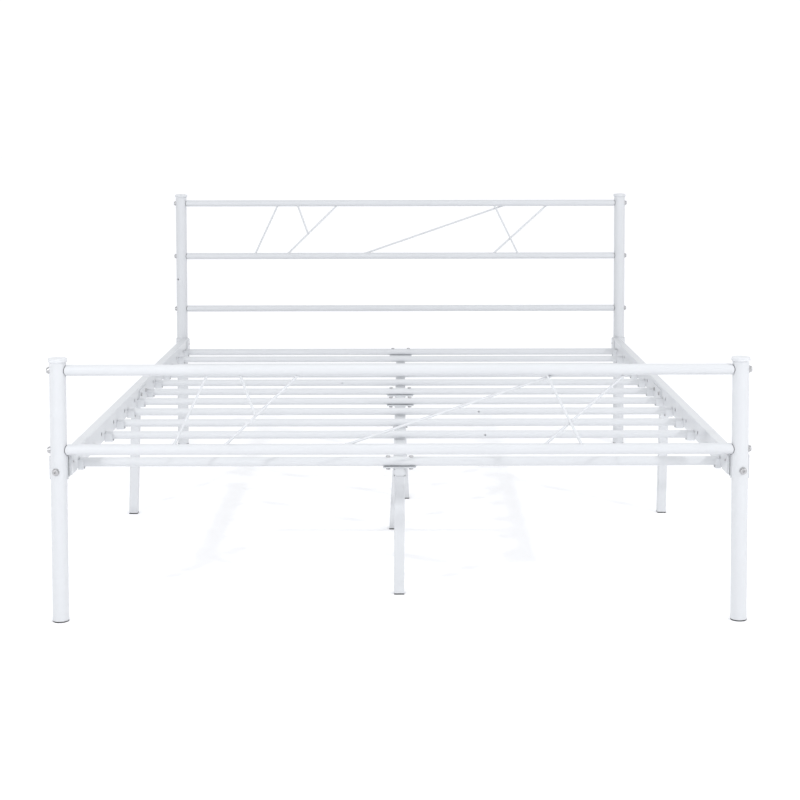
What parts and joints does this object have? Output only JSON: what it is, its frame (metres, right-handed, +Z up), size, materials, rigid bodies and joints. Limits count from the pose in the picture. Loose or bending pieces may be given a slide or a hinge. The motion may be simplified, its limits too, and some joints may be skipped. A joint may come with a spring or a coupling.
{
  "type": "metal bed frame",
  "caption": "White tubular steel bed frame: round posts with caps, headboard and footboard with slanted thin rods, jointed side rails, round bars across and a centre rail on square legs.",
  "frame": {"origin": "on the floor, at the middle of the bed across and along", "axes": "+X to the right seen from the foot, +Y from the footboard to the headboard, +Z up"},
  "size_m": [1.6312, 2.1412, 0.908],
  "materials": {
    "white_coated_steel": "satin",
    "white_cap_plastic": "satin",
    "white_holder_plastic": "matte",
    "black_glide_plastic": "matte",
    "zinc_plated_steel": "satin",
    "bare_steel": "satin"
  },
  "bodies": {
    "root": {"bar_holders_left": "white_holder_plastic", "bar_holders_right": "white_holder_plastic", "centre_leg_1": "white_coated_steel", "centre_leg_2": "white_coated_steel", "centre_leg_3": "white_coated_steel", "centre_leg_4": "white_coated_steel", "centre_rail_foot": "white_coated_steel", "centre_rail_head": "white_coated_steel", "foot_cap_left": "white_cap_plastic", "foot_cap_right": "white_cap_plastic", "foot_crossbar": "white_coated_steel", "foot_post_left": "white_coated_steel", "foot_post_right": "white_coated_steel", "footboard_rail_lower": "white_coated_steel", "footboard_rail_top": "white_coated_steel", "footboard_rod_a": "white_coated_steel", "footboard_rod_b": "white_coated_steel", "footboard_rod_c": "white_coated_steel", "footboard_rod_d": "white_coated_steel", "footboard_rod_e": "white_coated_steel", "footboard_rod_f": "white_coated_steel", "head_cap_left": "white_cap_plastic", "head_cap_right": "white_cap_plastic", "head_crossbar": "white_coated_steel", "head_post_left": "white_coated_steel", "head_post_right": "white_coated_steel", "headboard_rail_lower": "white_coated_steel", "headboard_rail_middle": "white_coated_steel", "headboard_rail_top": "white_coated_steel", "headboard_rod_a": "white_coated_steel", "headboard_rod_b": "white_coated_steel", "headboard_rod_c": "white_coated_steel", "headboard_rod_d": "white_coated_steel", "headboard_rod_e": "white_coated_steel", "headboard_rod_f": "white_coated_steel", "leg_glides": "black_glide_plastic", "nuts": "zinc_plated_steel", "post_bolts": "zinc_plated_steel", "post_glides": "black_glide_plastic", "post_washers": "zinc_plated_steel", "rail_sleeve_left": "bare_steel", "rail_sleeve_right": "bare_steel", "screws": "zinc_plated_steel", "side_leg_left": "white_coated_steel", "side_leg_right": "white_coated_steel", "side_rail_foot_left": "white_coated_steel", "side_rail_foot_right": "white_coated_steel", "side_rail_head_left": "white_coated_steel", "side_rail_head_right": "white_coated_steel", "slat_1": "white_coated_steel", "slat_10": "white_coated_steel", "slat_2": "white_coated_steel", "slat_3": "white_coated_steel", "slat_4": "white_coated_steel", "slat_5": "white_coated_steel", "slat_6": "white_coated_steel", "slat_7": "white_coated_steel", "slat_8": "white_coated_steel", "slat_9": "white_coated_steel", "small_bolts": "zinc_plated_steel"}
  },
  "joints": []
}
